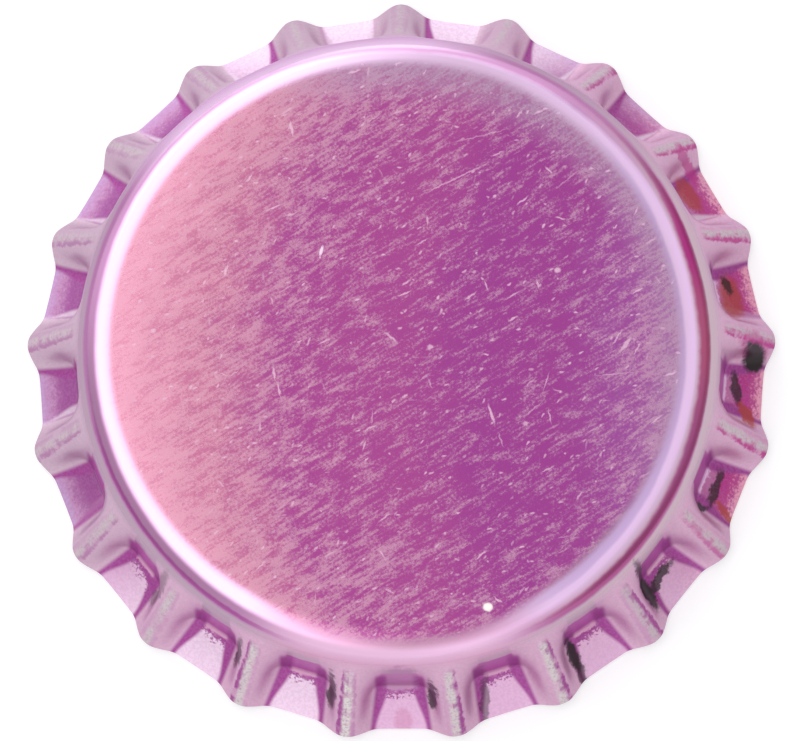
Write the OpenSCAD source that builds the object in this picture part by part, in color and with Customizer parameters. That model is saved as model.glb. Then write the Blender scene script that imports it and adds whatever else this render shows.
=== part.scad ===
// Crown cap for a 26 mm bottle finish, before it is crimped: a shell pressed from
// one disc of tinplate, with a fluted skirt, and the sealing liner moulded into it.
// It stands on its rim. The origin is the centre of the rim plane and +Z runs up
// through the flat panel. One flute points along +Y.

/* [Shell] */
// Height from the rim plane to the top of the panel
cap_h = 6.0; // [5.5:0.1:6.6]
// Thickness of the tinplate
sheet_t = 0.24; // [0.18:0.01:0.3]
// Diameter of the flat panel inside the shoulder
panel_d = 24.0; // [23:0.1:24.6]
// Outer radius of the rounded shoulder
shoulder_r = 1.65; // [1.2:0.05:1.9]

/* [Skirt] */
// Number of flutes round the skirt
flutes = 21; // [18:1:24]
// Diameter over the tips of the flutes
tip_d = 32.1; // [31.4:0.1:33]
// Height of a flute's tip above the rim plane
tip_z = 0.6; // [0.4:0.05:1]
// Diameter of the rim between two flutes
rim_d = 30.94; // [30:0.02:31.4]
// Lean of the wall between two flutes, in degrees from upright
wall_lean = 3; // [1:0.5:6]
// Slope of the flared foot of that wall, in degrees below level, from end to end
flare_slope = 37; // [33:1:42]
// How much that slope eases from the crease to the rim, in degrees
flare_bend = 12; // [2:1:16]
// Radius of the crease where the wall turns into the flare
crease_r = 0.35; // [0.2:0.05:0.6]
// Hollowness of the rim between two flutes: 0 is round and 1 is a straight chord
hollow_share = 1.3; // [0:0.1:2]

/* [Flutes] */
// Width of a flute at its foot
flute_w = 2.76; // [2.4:0.04:3]
// Outer radius of a flute's crest where it leaves the shoulder
crest_r_top = 0.5; // [0.4:0.02:0.7]
// Outer radius of a flute's crest at the rim
crest_r_rim = 0.6; // [0.4:0.02:0.8]
// Radius of the hollow along a flute's foot, near the shoulder
foot_r_top = 0.4; // [0.3:0.02:0.6]
// Radius of the hollow along a flute's foot, at the rim
foot_r_rim = 0.8; // [0.5:0.02:1]

/* [Liner] */
// Thickness of the thin web that covers the panel
web_t = 0.22; // [0.18:0.02:0.34]
// Width of the sealing ring, measured along the panel
ring_w = 2.3; // [1.8:0.1:2.8]
// Depth of the sealing ring below the panel
ring_h = 1.05; // [0.8:0.05:1.3]
// Radius on the edges of the sealing ring
ring_edge_r = 0.35; // [0.2:0.05:0.4]
// Gap between the sealing ring and the inside of the shoulder
ring_gap = 0.06; // [0.04:0.01:0.12]
// Diameter of the inner lip, at its middle
lip_d = 18.6; // [17:0.2:20]
// Radius of the inner lip's round face
lip_r = 0.7; // [0.5:0.05:1]
// Depth of the inner lip below the panel
lip_h = 0.55; // [0.45:0.05:0.7]

/* [Hidden] */

// Every flat and turned outline is [radius, height]. A slope is in degrees below
// level, so the outward side of a surface of slope a faces [sin(a), cos(a)].
function facing(a) = [sin(a), cos(a)];
function mix(a, b, share) = a + (b - a) * share;
// Points lie on a grid of a power of two to the millimetre, about a millionth of it,
// so that the panel and the skirt meet in exactly the same edge.
GRID_STEPS = 1048576;
function on_grid(x) = round(x * GRID_STEPS) / GRID_STEPS;
panel_under = on_grid(cap_h - sheet_t);

// Rows of cells on the shoulder above the flutes, at their roots, round the crease
// and on the flare
SHOULDER_STEPS = 3;
ROOT_STEPS = 2;
CREASE_STEPS = 2;
FLARE_STEPS = 2;

// Shoulder, wall, crease and flare, from the panel to the rim between two flutes
shoulder_c = [panel_d / 2, cap_h - shoulder_r];
wall_slope = 90 - wall_lean;
wall_top = shoulder_c + shoulder_r * facing(wall_slope);
wall_dir = [sin(wall_lean), -cos(wall_lean)];
foot_slope = flare_slope + flare_bend / 2;
rim_slope = flare_slope - flare_bend / 2;
// the sheet is cut square to its last row of cells, and the lower edge of the cut
// stands on the rim plane
edge_slope = rim_slope + flare_bend / FLARE_STEPS / 2;
rim = [rim_d / 2, sheet_t * cos(edge_slope)];
// the wall meets the straight line from the rim at the sharp corner of the crease
flare_dir = [cos(flare_slope), -sin(flare_slope)];
to_rim = rim - wall_top;
wall_len = (to_rim.x * flare_dir.y - to_rim.y * flare_dir.x)
         / (wall_dir.x * flare_dir.y - wall_dir.y * flare_dir.x);
corner = wall_top + wall_dir * wall_len;
flare_r = norm(rim - corner) / (2 * sin(flare_bend / 2));
flare_c = rim + flare_r * facing(rim_slope);
wall_foot = corner - wall_dir * crease_r * tan((wall_slope - foot_slope) / 2);
crease_c = wall_foot + crease_r * facing(wall_slope);

// The crest of a flute is a straight line that leaves the shoulder without a corner
tip = [tip_d / 2, tip_z];
to_tip = tip - shoulder_c;
crest_slope = atan2(-to_tip.y, to_tip.x) + asin(shoulder_r / norm(to_tip));
crest_top = shoulder_c + shoulder_r * facing(crest_slope);

// Rings of the skirt, from the panel's edge to the rim, as they lie between flutes
valley = concat(
    [for (i = [0 : SHOULDER_STEPS])
        shoulder_c + shoulder_r * facing(crest_slope * i / SHOULDER_STEPS)],
    [for (i = [1 : ROOT_STEPS])
        shoulder_c + shoulder_r * facing(mix(crest_slope, wall_slope, i / ROOT_STEPS))],
    [mix(wall_top, wall_foot, 0.5)],
    [for (i = [0 : CREASE_STEPS])
        crease_c - crease_r * facing(mix(wall_slope, foot_slope, i / CREASE_STEPS))],
    [for (i = [1 : FLARE_STEPS])
        flare_c - flare_r * facing(mix(foot_slope, rim_slope, i / FLARE_STEPS))]
);
LAST = len(valley) - 1;
// the inner face does without the first ring of the flutes' roots
INNER_RINGS = [for (k = [0 : LAST]) if (k != SHOULDER_STEPS + 1) k];

// How far a ring lies down the crest line, from 0 at the shoulder to 1 at the tip
crest_line = tip - crest_top;
function down_crest(k) = k <= SHOULDER_STEPS ? 0
    : ((valley[k] - crest_top) * crest_line) / ((rim - crest_top) * crest_line);
function crest(k) = k <= SHOULDER_STEPS ? valley[k] : mix(crest_top, tip, down_crest(k));

// Height of a flute at x from its middle: a round crest, a straight flank and a
// hollow foot. d is the flute's full height and w half its width. The two radii
// are limited to what still leaves room for the flank.
function flute_height(x, d, w, crest_r, foot_r) =
    let (fit = min(1, (w * w + d * d) / (2 * d * (crest_r + foot_r))),
         rc = crest_r * fit,
         rf = foot_r * fit,
         flank = atan2(d - rc - rf, w) + asin(min(1, (rc + rf) / norm([w, d - rc - rf]))),
         crest_x = rc * sin(flank),
         foot_x = w - rf * sin(flank))
    x <= crest_x ? d - rc + sqrt(rc * rc - x * x)
    : x >= foot_x ? rf - sqrt(rf * rf - (w - x) * (w - x))
    : d - rc * (1 - cos(flank)) - (x - crest_x) * tan(flank);

// Columns from a flute's middle to its foot, as shares of half its width
SPREAD = [0, 1 / 6, 1 / 3, 2 / 3, 5 / 6, 1];
HALF = len(SPREAD);
PER_FLUTE = 2 * HALF;
pitch = 360 / flutes;
COLUMNS = flutes * PER_FLUTE;

// A point of the outer face in ring k, j columns from a flute's middle
function half_point(k, j) =
    let (w = flute_w / 2,
         down = down_crest(k),
         x = j < HALF ? SPREAD[j] * w : 0,
         turn = j < HALF ? x / valley[k].x * 180 / PI : pitch / 2,
         depth = norm(crest(k) - valley[k]),
         height = j < HALF && depth > 0
             ? flute_height(x, depth, w, mix(crest_r_top, crest_r_rim, down),
                            mix(foot_r_top, foot_r_rim, down))
             : 0,
         share = depth > 0 ? height / depth : 0,
         hollow = hollow_share * down * (1 / cos(pitch / 2 - turn) - 1),
         floor_line = [valley[k].x * (1 + hollow), valley[k].y])
    concat(mix(floor_line, crest(k), share), turn);

function outer_point(k, i) =
    let (c = (i + COLUMNS) % COLUMNS,
         flute = floor(c / PER_FLUTE),
         j = c % PER_FLUTE,
         p = half_point(k, j <= HALF ? j : PER_FLUTE - j),
         a = 90 + pitch * (j <= HALF ? flute : flute + 1) + (j <= HALF ? p[2] : -p[2]))
    [on_grid(p[0] * cos(a)), on_grid(p[0] * sin(a)), on_grid(p[1])];

// The inner face lies one sheet thickness behind the outer one, square to it
function outward(k, i) =
    let (round_way = outer_point(k, i + 1) - outer_point(k, i - 1),
         down_way = outer_point(min(k + 1, LAST), i) - outer_point(k - 1, i),
         n = cross(down_way, round_way))
    n / norm(n);
function inner_point(k, i) =
    let (p = outer_point(k, i) - sheet_t * (k == 0 ? [0, 0, 1] : outward(k, i)))
    [on_grid(p.x), on_grid(p.y), on_grid(max(p.z, 0))];

// Two triangles for each cell between ring a and ring b of a grid of points
function cell(a, b, i) =
    let (n = (i + 1) % COLUMNS)
    i % PER_FLUTE < HALF
        ? [[a + i, a + n, b + i], [a + n, b + n, b + i]]
        : [[a + i, b + n, b + i], [a + i, a + n, b + n]];
function band(a, b) = [for (i = [0 : COLUMNS - 1]) each cell(a, b, i)];
function turned_over(faces) = [for (f = faces) [f[0], f[2], f[1]]];

// The fluted skirt with the shoulder, as one loft of rings
module skirt() {
    outside = [for (k = [0 : LAST]) for (i = [0 : COLUMNS - 1]) outer_point(k, i)];
    inside = [for (k = INNER_RINGS) for (i = [0 : COLUMNS - 1]) inner_point(k, i)];
    first_in = len(outside);
    last_out = LAST * COLUMNS;
    last_in = first_in + (len(INNER_RINGS) - 1) * COLUMNS;
    polyhedron(
        points = concat(outside, inside),
        faces = concat(
            [for (k = [0 : LAST - 1]) each band(k * COLUMNS, (k + 1) * COLUMNS)],
            band(last_out, last_in),
            turned_over([for (k = [0 : len(INNER_RINGS) - 2])
                each band(first_in + k * COLUMNS, first_in + (k + 1) * COLUMNS)]),
            turned_over(band(0, first_in))
        ),
        convexity = 10
    );
}

module panel() {
    translate([0, 0, panel_under])
        linear_extrude(on_grid(cap_h) - panel_under)
            polygon([for (i = [0 : COLUMNS - 1]) let (p = outer_point(0, i)) [p.x, p.y]]);
}

module shell() {
    color([0.72, 0.33, 0.62]) {
        skirt();
        panel();
    }
}

// The liner is one moulding: a thin web under the panel, the sealing ring that
// presses on the bottle's mouth, and an inner lip. It is bonded to the panel.
ring_r = shoulder_r - sheet_t - ring_gap;

module ring_edges() {
    bottom = panel_under - ring_h;
    ring_in = panel_d / 2 + ring_r - ring_w;
    translate([ring_in, bottom + ring_edge_r])
        square([ring_w, ring_h - ring_edge_r]);
    translate([ring_in + ring_edge_r, bottom])
        square([ring_w - 2 * ring_edge_r, ring_h]);
    for (x = [ring_in + ring_edge_r, ring_in + ring_w - ring_edge_r])
        translate([x, bottom + ring_edge_r]) circle(r = ring_edge_r, $fn = 48);
}

// The room inside the shell that the ring fills: under the panel and the shoulder
module shoulder_room() {
    translate([0, panel_under - ring_h]) square([panel_d / 2, ring_h]);
    translate(shoulder_c) circle(r = ring_r, $fn = 96);
}

module lip_profile() {
    intersection() {
        translate([lip_d / 2, panel_under - lip_h + lip_r]) circle(r = lip_r, $fn = 48);
        translate([lip_d / 2 - lip_r, panel_under - lip_h]) square([2 * lip_r, lip_h]);
    }
}

module liner() {
    color([0.93, 0.92, 0.9])
        rotate_extrude($fn = 180) {
            translate([0, panel_under - web_t]) square([panel_d / 2, web_t]);
            intersection() {
                union() ring_edges();
                union() shoulder_room();
            }
            lip_profile();
        }
}

shell();
liner();
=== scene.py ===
"""Crown cap of pink-lacquered tinplate: the pressed shell, its sealing liner and a studio."""

import logging
import math
from collections.abc import Callable
from dataclasses import dataclass, field
from enum import Enum
from functools import partial
from typing import Any

import bpy
from mathutils import Matrix, Vector


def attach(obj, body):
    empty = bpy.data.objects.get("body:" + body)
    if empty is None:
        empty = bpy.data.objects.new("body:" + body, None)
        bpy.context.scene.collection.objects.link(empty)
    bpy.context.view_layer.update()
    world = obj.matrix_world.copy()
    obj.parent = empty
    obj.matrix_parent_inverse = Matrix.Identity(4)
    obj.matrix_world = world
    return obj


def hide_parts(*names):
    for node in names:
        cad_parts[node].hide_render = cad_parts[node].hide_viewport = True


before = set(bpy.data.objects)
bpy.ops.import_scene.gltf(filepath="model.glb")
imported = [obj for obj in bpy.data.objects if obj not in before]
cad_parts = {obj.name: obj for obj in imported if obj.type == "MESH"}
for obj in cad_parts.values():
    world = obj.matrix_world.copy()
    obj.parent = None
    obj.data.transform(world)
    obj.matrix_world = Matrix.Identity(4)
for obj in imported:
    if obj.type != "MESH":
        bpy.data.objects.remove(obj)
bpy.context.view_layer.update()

LOG = logging.getLogger("bottle_cap")
MM = 0.001
# what a noise gives in the mean
MEAN = 0.5

Pair = tuple[float, float]
# start and end of a fade, and the two values that it runs between where not 0 and 1
Fade = tuple[float, ...]
# a noise's lumps to the millimetre, its detail and its roughness
Texture = tuple[float, float, float]
Node = bpy.types.Node
# what a node takes in: a value, a tint, a socket or another node
Wire = Any
Add = Callable[..., Node]

# node types that come back again and again, with their settings
PLUS, MINUS, TIMES, TIMES_PLUS, OVER, POWER, ROOT, HIGHER = (
    ("ShaderNodeMath", {"operation": work})
    for work in (
        "ADD", "SUBTRACT", "MULTIPLY", "MULTIPLY_ADD", "DIVIDE", "POWER", "SQRT", "MAXIMUM",
    )
)
ABOVE, BELOW, SIZE, SIGN, ROUND, MODULO, SINE, COSINE = (
    ("ShaderNodeMath", {"operation": work})
    for work in (
        "GREATER_THAN", "LESS_THAN", "ABSOLUTE", "SIGN", "ROUND", "MODULO", "SINE", "COSINE",
    )
)
ALL_PLUS, ALL_MINUS, ALL_TIMES, ALL_TIMES_PLUS, ALL_HIGHER, SCALED, LENGTH, UNIT, TOWARDS = (
    ("ShaderNodeVectorMath", {"operation": work})
    for work in (
        "ADD", "SUBTRACT", "MULTIPLY", "MULTIPLY_ADD", "MAXIMUM", "SCALE", "LENGTH", "NORMALIZE",
        "DOT_PRODUCT",
    )
)
SPLIT, PRINCIPLED = "ShaderNodeSeparateXYZ", "ShaderNodeBsdfPrincipled"
RANGE, MIX, NOISE = "ShaderNodeMapRange", "ShaderNodeMix", "ShaderNodeTexNoise"
EASE = (RANGE, {"interpolation_type": "SMOOTHSTEP"})
LAYER = (MIX, {"data_type": "RGBA"})
FLAT_NOISE = (NOISE, {"noise_dimensions": "2D"})
STOPS, MAPPING = "ShaderNodeValToRGB", "ShaderNodeMapping"
SWITCH = ("GeometryNodeSwitch", {"input_type": "FLOAT"})


class Tint(Enum):
    """Colours of the sheet, its liner and the floor, as sRGB hex."""

    # the lacquer's deep tones: its own colour on the panel, and painted shade and dark reflections on
    # the skirt
    DIM = "#9E5094"
    DEEP = "#A44294"
    PLUM = "#A4509E"
    WINE = "#AE4A94"
    DIM_LINE_REFLECTION = "#B05890"
    WALL = "#BA50A8"
    DEEP_RED = "#C03C90"
    LINE_REFLECTION = "#C05E88"
    DARK = "#C87AAE"
    LIGHT_WALL = "#DC8AC8"
    # pale tones: rubbed grain on the panel, scuffs on the crests, and painted highlights and
    # reflections on the shoulder, flutes and flares
    VIOLET = "#BC88B2"
    HAZE = "#BC98B6"
    DULL_RING = "#BEA4B6"
    MAUVE = "#C09CC8"
    GREY = "#C2AAB8"
    DIM_FLECK = "#C48CB2"
    ROSE_DEEP = "#C8709A"
    RING = "#CDB4C0"
    FLECK = "#CE90B0"
    GREY_FLANK = "#D2B8C8"
    LAVENDER = "#D4B2DE"
    ROSE = "#DC9AB2"
    DUSK = "#DCA6C6"
    FLANK = "#E0B6D0"
    EDGE = "#E2D0DE"
    BLUSH = "#E8BCDC"
    SALMON_DEEP = "#EA98B4"
    PALE = "#ECC8EA"
    SALMON = "#F2AAC2"
    AIRY = "#F4DEF0"
    # glancing light, scratches and scuffs, and painted shade and warm reflections in the corners
    GLOSS = "#E4C4E2"
    MARK = "#E2BCD0"
    SCUFF = "#EAE8E0"
    CREAM = "#FBF4EC"
    WARM_REFLECTION = "#B44A3C"
    CORNER_SHADE = "#2C2826"
    # bare tin under clear lacquer, sealing compound, and the studio's floor
    TIN = "#CFC8B2"
    BRIGHT_TIN = "#E2DCCB"
    COMPOUND = "#E2DED2"
    PALE_COMPOUND = "#EFEDE6"
    FLOOR = "#CFCFCF"


# ---------------------------------------------------------------- small tools


def linear(code: str) -> tuple[float, float, float, float]:
    """Turns an sRGB hex colour into the linear colour that a shader takes.

    Args:
        code: The colour as "#RRGGBB".

    Returns:
        Linear red, green, blue and an alpha of 1.
    """
    parts = [int(code[i : i + 2], 16) / 255 for i in (1, 3, 5)]
    red, green, blue = (
        c / 12.92 if c <= 0.04045 else ((c + 0.055) / 1.055) ** 2.4 for c in parts
    )
    return red, green, blue, 1.0


def add_node(
    tree: bpy.types.NodeTree, kind: str | tuple[str, dict[str, Any]], *wired: Wire, **settings: Any
) -> Node:
    """Adds a node to a tree, with its settings and links.

    Args:
        tree: The node tree that gets the node.
        kind: The node's type name, alone or with settings.
        wired: Its inputs in order. Each is a value, a tint, a socket, a node whose first
            live output is taken, a (name, value) pair for an input by name, or None to
            leave that input as it is.
        settings: The node's own properties, and stops for a run of colours.

    Returns:
        The new node.
    """
    name, preset = kind if isinstance(kind, tuple) else (kind, {})
    node = tree.nodes.new(name)
    for place, (spot, tint) in enumerate(settings.pop("stops", ())):
        run = node.color_ramp.elements
        mark = run[place] if place < len(run) else run.new(spot)
        mark.position, mark.color = spot, linear(tint.value)
    for key, value in {**preset, **settings}.items():
        setattr(node, key, value)
    live = [s for s in node.inputs if s.enabled]
    for place, value in enumerate(wired):
        socket = live[place] if place < len(live) else None
        if isinstance(value, tuple) and isinstance(value[0], str):
            socket = next(s for s in live if s.name == value[0])
            value = value[1]
        if value is None:
            continue
        if isinstance(value, Tint):
            value = linear(value.value)
        if isinstance(value, Node):
            value = next(s for s in value.outputs if s.enabled)
        if isinstance(value, bpy.types.NodeSocket):
            tree.links.new(value, socket)
        else:
            socket.default_value = value
    return node


def blank(owner: bpy.types.Material | bpy.types.World) -> Add:
    """Empties the node tree of a material or a world.

    Args:
        owner: What the tree belongs to.

    Returns:
        What adds a node to that tree.
    """
    owner.use_nodes = True
    owner.node_tree.nodes.clear()
    return partial(add_node, owner.node_tree)


def millimetres(add: Add) -> Node:
    """The place on the piece in millimetres."""
    return add(SCALED, add("ShaderNodeTexCoord").outputs["Object"], 1 / MM)


def facing(slope: float) -> Pair:
    """The way that a surface faces whose slope is given in degrees below level."""
    return math.sin(math.radians(slope)), math.cos(math.radians(slope))


def mix(a: float, b: float, share: float) -> float:
    """The value that lies a share of the way from a to b."""
    return a + (b - a) * share


def on_arc(centre: Pair, radius: float, slope: float) -> Pair:
    """The point of a turned arc whose outward side has that slope.

    Args:
        centre: The arc's centre as (radius, height).
        radius: Its radius, negative where the outward side is hollow.
        slope: Slope in degrees below level.

    Returns:
        The point as (radius, height).
    """
    out, up = facing(slope)
    return centre[0] + radius * out, centre[1] + radius * up


@dataclass(frozen=True)
class Side:
    """A side: its azimuth in degrees, and the cosines from it where it fades in and is full."""

    azimuth: float
    edge: float
    core: float

    def nearness(self, add: Add, level: Wire) -> Node:
        """Rises from 0 to 1 as a level direction turns to the side.

        Args:
            add: Adds a node to the tree.
            level: The direction, with a length of 1.

        Returns:
            The node that gives the rise.
        """
        turn = math.radians(self.azimuth)
        near = add(TOWARDS, level, (math.cos(turn), math.sin(turn), 0))
        return add(EASE, near, self.edge, self.core)


# ---------------------------------------------------------------- the profile


@dataclass(frozen=True)
class Ring:
    """One ring of a turned or fluted piece, in millimetres."""

    low: Pair
    crest: Pair
    down: float = 0.0
    along: float = 0.0
    crest_r: float = 0.5
    foot_r: float = 0.4


@dataclass(frozen=True)
class ShellSizes:
    """Sizes of the pressed shell in millimetres and degrees, as the solid has them."""

    cap_h: float = 6.0
    sheet_t: float = 0.24
    panel_d: float = 24.0
    shoulder_r: float = 1.65
    flutes: int = 21
    tip_d: float = 32.1
    tip_z: float = 0.6
    rim_d: float = 30.94
    wall_lean: float = 3.0
    flare_slope: float = 37.0
    flare_bend: float = 12.0
    crease_r: float = 0.35
    hollow_share: float = 1.3
    flute_w: float = 2.76
    crest_r_top: float = 0.5
    crest_r_rim: float = 0.6
    foot_r_top: float = 0.4
    foot_r_rim: float = 0.8
    # the tips and the rim stay this much inside the solid's box
    clear: float = 0.006
    # the panel stands a hair higher in its middle, as drawn sheet does
    crown: float = 0.05
    panel_steps: int = 9
    shoulder_steps: int = 11
    root_steps: int = 7
    wall_steps: int = 5
    crease_steps: int = 8
    flare_steps: int = 7

    @property
    def centre(self) -> Pair:
        """The middle of the shoulder's arc."""
        return self.panel_d / 2, self.cap_h - self.shoulder_r

    @property
    def tip(self) -> Pair:
        """The lowest point of a flute's crest."""
        return self.tip_d / 2 - self.clear, self.tip_z

    @property
    def crest_slope(self) -> float:
        """The slope of the line that a flute's crest follows from the shoulder to its tip.

        Returns:
            The slope in degrees.
        """
        to_tip = (self.tip[0] - self.centre[0], self.tip[1] - self.centre[1])
        return math.degrees(
            math.atan2(-to_tip[1], to_tip[0])
            + math.asin(self.shoulder_r / math.hypot(*to_tip))
        )

    def top(self) -> list[Pair]:
        """The panel's and the shoulder's course, down to the flutes' roots.

        Returns:
            The points, from the axis outwards.
        """
        points = []
        for i in range(self.panel_steps):
            r = self.centre[0] * i / self.panel_steps
            points.append((r, self.cap_h - self.crown * (r / self.centre[0]) ** 2))
        for i in range(self.shoulder_steps + 1):
            share = i / self.shoulder_steps
            r, z = on_arc(self.centre, self.shoulder_r, self.crest_slope * share)
            points.append((r, z - self.crown * (1 - share * share * (3 - 2 * share))))
        return points

    def floor(self) -> list[Pair]:
        """The course between two flutes: the shoulder's foot, the wall, the crease and the flare.

        Returns:
            The points, from the shoulder's foot to the rim.
        """
        wall_slope = 90 - self.wall_lean
        wall_top = on_arc(self.centre, self.shoulder_r, wall_slope)
        foot_slope = self.flare_slope + self.flare_bend / 2
        rim_slope = self.flare_slope - self.flare_bend / 2
        rim = (self.rim_d / 2, self.sheet_t * facing(rim_slope)[1] + self.clear)
        lean = math.radians(self.wall_lean)
        wall_dir = (math.sin(lean), -math.cos(lean))
        fall = math.radians(self.flare_slope)
        flare_dir = (math.cos(fall), -math.sin(fall))
        run = (rim[0] - wall_top[0], rim[1] - wall_top[1])
        wall_len = (run[0] * flare_dir[1] - run[1] * flare_dir[0]) / (
            wall_dir[0] * flare_dir[1] - wall_dir[1] * flare_dir[0]
        )
        corner = (wall_top[0] + wall_dir[0] * wall_len, wall_top[1] + wall_dir[1] * wall_len)
        flare_r = math.dist(rim, corner) / (2 * math.sin(math.radians(self.flare_bend / 2)))
        flare_c = on_arc(rim, flare_r, rim_slope)
        back = self.crease_r * math.tan(math.radians((wall_slope - foot_slope) / 2))
        wall_foot = (corner[0] - wall_dir[0] * back, corner[1] - wall_dir[1] * back)
        crease_c = on_arc(wall_foot, self.crease_r, wall_slope)

        def arc(centre: Pair, radius: float, start: float, end: float, steps: int) -> list[Pair]:
            """The points of an arc between two slopes, without its first."""
            return [on_arc(centre, radius, mix(start, end, i / steps)) for i in range(1, steps + 1)]

        points = arc(self.centre, self.shoulder_r, self.crest_slope, wall_slope, self.root_steps)
        points += [
            tuple(mix(a, b, i / self.wall_steps) for a, b in zip(wall_top, wall_foot))
            for i in range(1, self.wall_steps)
        ]
        points.append(on_arc(crease_c, -self.crease_r, wall_slope))
        points += arc(crease_c, -self.crease_r, wall_slope, foot_slope, self.crease_steps)
        points += arc(flare_c, -flare_r, foot_slope, rim_slope, self.flare_steps)
        return points

    def rings(self) -> list[Ring]:
        """The shell's rings from the middle of the panel to the rim.

        Returns:
            The rings, each as it lies between two flutes and at a flute's crest.
        """
        tip, floor = self.tip, self.floor()
        root = on_arc(self.centre, self.shoulder_r, self.crest_slope)
        line = (tip[0] - root[0], tip[1] - root[1])

        def fallen(point: Pair) -> float:
            """How far a point lies down the crest line, in the line's own measure."""
            return (point[0] - root[0]) * line[0] + (point[1] - root[1]) * line[1]

        made = [(p, p, 0.0) for p in self.top()]
        for p in floor:
            down = fallen(p) / fallen(floor[-1])
            made.append((p, tuple(mix(a, b, down) for a, b in zip(root, tip)), down))
        rings: list[Ring] = []
        along = 0.0
        for i, (p, crest, down) in enumerate(made):
            along += math.dist(p, made[i - 1][0]) if i else 0.0
            crest_r = mix(self.crest_r_top, self.crest_r_rim, down)
            foot_r = mix(self.foot_r_top, self.foot_r_rim, down)
            rings.append(Ring(p, crest, down, along, crest_r, foot_r))
        return rings


# below this a ring has no flutes, in millimetres
NO_DEPTH = 1e-9


def ring_table(name: str, rings: list[Ring], flute_w: float) -> bpy.types.Mesh:
    """Writes rings as a mesh of loose points, which the node tree reads one by one.

    Args:
        name: Name of the mesh.
        rings: The rings in millimetres.
        flute_w: Width of a flute at its foot, in millimetres.

    Returns:
        A mesh with a point for each ring and its measures as attributes, in metres but for
        the way along the sheet, which is in millimetres.
    """
    mesh = bpy.data.meshes.new(name)
    mesh.from_pydata([(r.low[0] * MM, 0, r.low[1] * MM) for r in rings], [], [])
    half = flute_w / 2
    rows: list[dict[str, float]] = []
    for r in rings:
        deep = math.dist(r.low, r.crest)
        row = dict(crest_out=r.crest[0] * MM, crest_up=r.crest[1] * MM, down=r.down,
                   along=r.along, deep=deep * MM, crest_r=0.0, foot_r=0.0, crest_x=0.0,
                   foot_x=0.0, flank=0.0)
        if deep > NO_DEPTH:
            fit = min(1, (half**2 + deep**2) / (2 * deep * (r.crest_r + r.foot_r)))
            rc, rf = r.crest_r * fit, r.foot_r * fit
            rest = deep - rc - rf
            flank = math.atan2(rest, half) + math.asin(min(1, (rc + rf) / math.hypot(half, rest)))
            row.update(crest_r=rc * MM, foot_r=rf * MM, crest_x=rc * math.sin(flank) * MM,
                       foot_x=(half - rf * math.sin(flank)) * MM, flank=math.tan(flank))
        rows.append(row)
    for key in rows[0]:
        values = [row[key] for row in rows]
        mesh.attributes.new(key, "FLOAT", "POINT").data.foreach_set("value", values)
    return mesh


# ---------------------------------------------------------------- round the axis


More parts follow.
